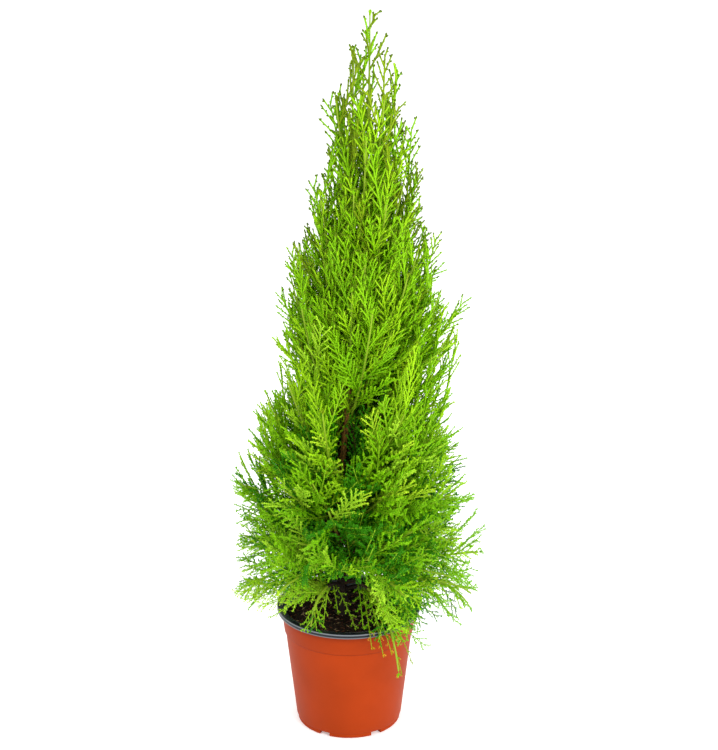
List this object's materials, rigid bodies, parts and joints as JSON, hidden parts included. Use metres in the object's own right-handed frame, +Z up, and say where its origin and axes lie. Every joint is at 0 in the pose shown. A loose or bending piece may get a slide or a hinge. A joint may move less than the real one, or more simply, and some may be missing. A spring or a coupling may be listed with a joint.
{
  "type": "potted lemon cypress",
  "caption": "Small upright evergreen shrub with a narrow cone of bright feathery foliage, standing in a tapered plastic nursery pot with a rolled rim.",
  "frame": {"origin": "middle of the pot's underside, in the plane its feet stand on", "axes": "+Z up along the plant, +X to the plant's right seen from its front, -Y towards its front"},
  "size_m": [0.2424, 0.2406, 0.6839],
  "materials": {
    "terracotta_plastic": "moulded plastic with a low sheen, terracotta orange",
    "peat": "dark moist potting mix",
    "bark": "rough brown bark",
    "foliage": "soft scale leaves, bright yellow-green"
  },
  "bodies": {
    "root": {"bough_low_1": "bark", "bough_low_2": "bark", "bough_low_3": "bark", "bough_low_4": "bark", "bough_low_5": "bark", "bough_low_6": "bark", "bough_skirt_1": "bark", "bough_skirt_2": "bark", "bough_skirt_3": "bark", "bough_skirt_4": "bark", "bough_skirt_5": "bark", "bough_skirt_6": "bark", "bough_spread_1": "bark", "bough_spread_2": "bark", "bough_spread_3": "bark", "bough_spread_4": "bark", "bough_spread_5": "bark", "crest_1": "foliage", "crest_2": "foliage", "crest_3": "foliage", "crest_4": "foliage", "leader": "foliage", "low_1": "foliage", "low_2": "foliage", "low_3": "foliage", "low_4": "foliage", "low_5": "foliage", "low_6": "foliage", "middle_1": "foliage", "middle_2": "foliage", "middle_3": "foliage", "middle_4": "foliage", "middle_5": "foliage", "middle_6": "foliage", "pot": "terracotta_plastic", "rise_1": "foliage", "rise_2": "foliage", "rise_3": "foliage", "rise_4": "foliage", "rise_5": "foliage", "rise_6": "foliage", "second_leader": "foliage", "skirt_1": "foliage", "skirt_2": "foliage", "skirt_3": "foliage", "skirt_4": "foliage", "skirt_5": "foliage", "skirt_6": "foliage", "soil": "peat", "spread_1": "foliage", "spread_2": "foliage", "spread_3": "foliage", "spread_4": "foliage", "spread_5": "foliage", "trunk": "bark", "upper_1": "foliage", "upper_2": "foliage", "upper_3": "foliage", "upper_4": "foliage"}
  },
  "joints": []
}
